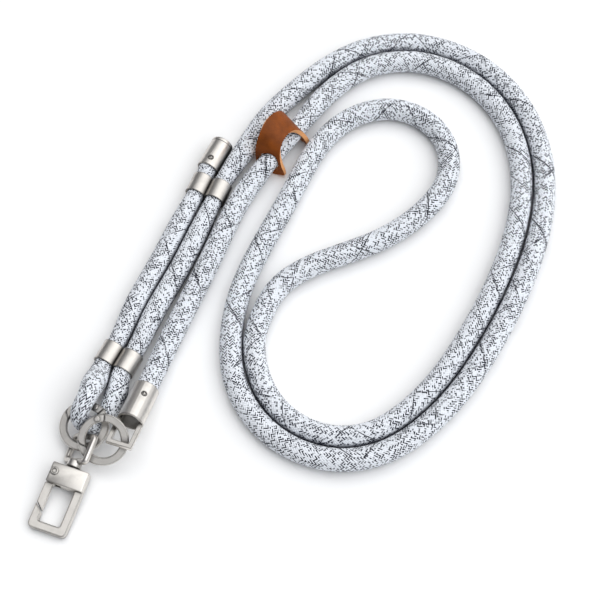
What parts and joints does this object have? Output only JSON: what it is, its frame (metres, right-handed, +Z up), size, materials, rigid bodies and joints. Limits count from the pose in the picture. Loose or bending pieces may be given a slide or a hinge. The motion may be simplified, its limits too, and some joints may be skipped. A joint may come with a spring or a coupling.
{
  "type": "phone crossbody strap",
  "caption": "Round braided crossbody strap with clamps, end caps, spring rings, a leather keeper and a swivel clip, lying in a loop.",
  "frame": {"origin": "on the floor that the strap lies on, under the middle of the metal and leather pieces' box", "axes": "+Z up from the floor, +Y from the clip along the side-by-side strands to the closed end cap, the rope's large loop lies towards +X"},
  "size_m": [0.1759, 0.3019, 0.0232],
  "materials": {
    "rope_braid": "braided sleeve, pale blue-white with dark flecks",
    "cognac_leather": "smooth cognac, raw cut edges",
    "satin_nickel": "satin nickel plate",
    "bright_nickel": "semi-bright nickel plate"
  },
  "bodies": {
    "strap": {"rope": "rope_braid", "stop_cap": "satin_nickel", "stop_cap_screw": "satin_nickel", "bail_cap": "satin_nickel", "bail_cap_screw": "satin_nickel", "upper_clamp": "satin_nickel", "lower_clamp": "satin_nickel", "leather_keeper": "cognac_leather", "rope_ring_body": "bright_nickel", "rope_ring_gate": "bright_nickel", "rope_ring_rivet": "bright_nickel", "cap_ring_body": "bright_nickel", "cap_ring_rivet": "bright_nickel", "swivel_stirrup": "bright_nickel"},
    "clip": {"clip_body": "satin_nickel", "clip_rivet": "satin_nickel"},
    "clip_gate": {"clip_gate": "satin_nickel"},
    "cap_ring_gate": {"cap_ring_gate": "bright_nickel"}
  },
  "joints": [
    {"name": "clip_swivel", "type": "hinge", "parent": "strap", "child": "clip", "pos_m": [-0.0131, -0.09, 0.00485], "axis": [0, 0.993, 0.1184], "continuous": true},
    {"name": "clip_gate_hinge", "type": "hinge", "parent": "clip", "child": "clip_gate", "pos_m": [-0.0194, -0.0894, 0.00492], "axis": [0, -0.1184, 0.993], "range_deg": [0, 20], "stiffness_Nm_per_rad": 0.01, "springref_deg": -17.19},
    {"name": "cap_ring_gate_hinge", "type": "hinge", "parent": "strap", "child": "cap_ring_gate", "pos_m": [-0.00975, -0.06357, 0.01488], "axis": [0.1222, -0.4481, 0.8856], "range_deg": [0, 4], "stiffness_Nm_per_rad": 0.006, "springref_deg": -17.19}
  ]
}
